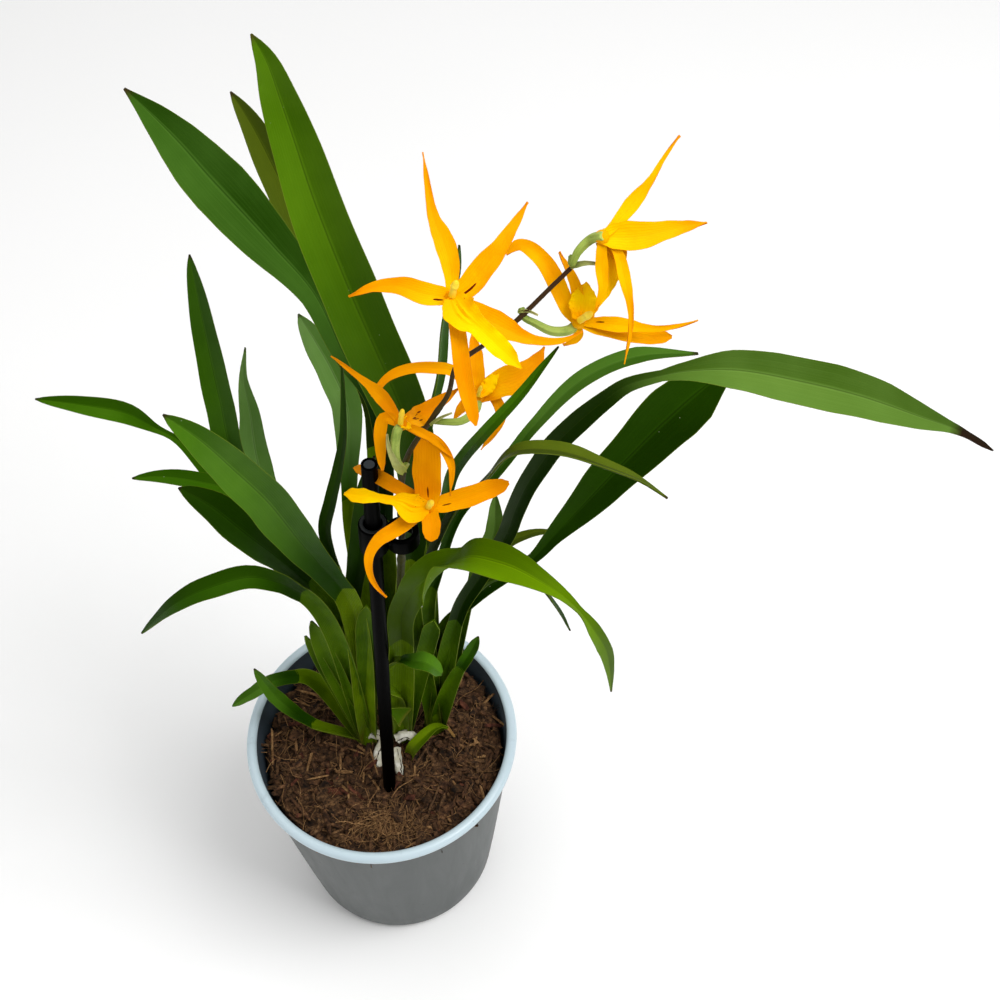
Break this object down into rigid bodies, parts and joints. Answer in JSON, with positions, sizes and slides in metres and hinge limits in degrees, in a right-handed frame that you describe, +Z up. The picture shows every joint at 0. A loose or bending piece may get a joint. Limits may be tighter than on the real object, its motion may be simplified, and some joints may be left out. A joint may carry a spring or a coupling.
{
  "type": "brassia orchid in pot",
  "caption": "Flowering orchid with strap leaves in three fans and an arching spray of spidery orange blooms, tied to a short stake in a round plastic pot.",
  "frame": {"origin": "centre of the pot's base, on the surface it stands on", "axes": "+Z up, -Y towards the plant's front, where the stake stands and the blooms face, +X to the right seen from the front"},
  "size_m": [0.3649, 0.156, 0.5042],
  "materials": {
    "pot_plastic": "satin",
    "potting_bark": "matte",
    "black_plastic": "satin",
    "leaf_green": "satin",
    "leaf_pale_green": "satin",
    "leaf_sheath": "satin",
    "aerial_root": "matte",
    "spike_stem": "satin",
    "flower_stalk": "satin",
    "tepal_orange": "satin",
    "lip_yellow": "satin"
  },
  "bodies": {
    "root": {"pot": "pot_plastic", "growing_medium": "potting_bark", "stake": "black_plastic", "stem_clip": "black_plastic", "root_1": "aerial_root", "root_2": "aerial_root", "root_3": "aerial_root", "root_4": "aerial_root", "growth_left": "leaf_sheath", "growth_centre": "leaf_sheath", "growth_right": "leaf_sheath", "leaf_left_broad": "leaf_green", "leaf_left_twisted": "leaf_green", "leaf_left_upright": "leaf_green", "leaf_left_short": "leaf_green", "leaf_left_low": "leaf_green", "leaf_left_dark": "leaf_green", "leaf_left_arching": "leaf_green", "leaf_pot_edge": "leaf_green", "leaf_soil_level": "leaf_green", "leaf_left_edge_on": "leaf_green", "leaf_behind_stake": "leaf_green", "leaf_tall": "leaf_pale_green", "leaf_upper_left": "leaf_green", "leaf_upper_rear": "leaf_green", "leaf_rear_pale": "leaf_green", "leaf_behind_bloom": "leaf_green", "leaf_front_arching": "leaf_pale_green", "leaf_curled": "leaf_green", "leaf_right_slender": "leaf_green", "leaf_right_high": "leaf_green", "leaf_right_long": "leaf_green", "leaf_right_dark": "leaf_green", "leaf_right_thin": "leaf_green", "leaf_right_hidden": "leaf_green", "leaf_right_stub": "leaf_green", "leaf_right_olive": "leaf_green", "leaf_right_base": "leaf_green", "flower_spike": "spike_stem", "bloom_top_left_tepals": "tepal_orange", "bloom_top_left_lip": "lip_yellow", "bloom_top_left_stalk": "flower_stalk", "bloom_behind_tepals": "tepal_orange", "bloom_behind_lip": "lip_yellow", "bloom_behind_stalk": "flower_stalk", "bloom_left_tepals": "tepal_orange", "bloom_left_lip": "lip_yellow", "bloom_left_stalk": "flower_stalk", "bloom_front_tepals": "tepal_orange", "bloom_front_lip": "lip_yellow", "bloom_front_stalk": "flower_stalk", "bloom_right_tepals": "tepal_orange", "bloom_right_lip": "lip_yellow", "bloom_right_stalk": "flower_stalk", "bloom_top_right_tepals": "tepal_orange", "bloom_top_right_lip": "lip_yellow", "bloom_top_right_stalk": "flower_stalk"}
  },
  "joints": []
}
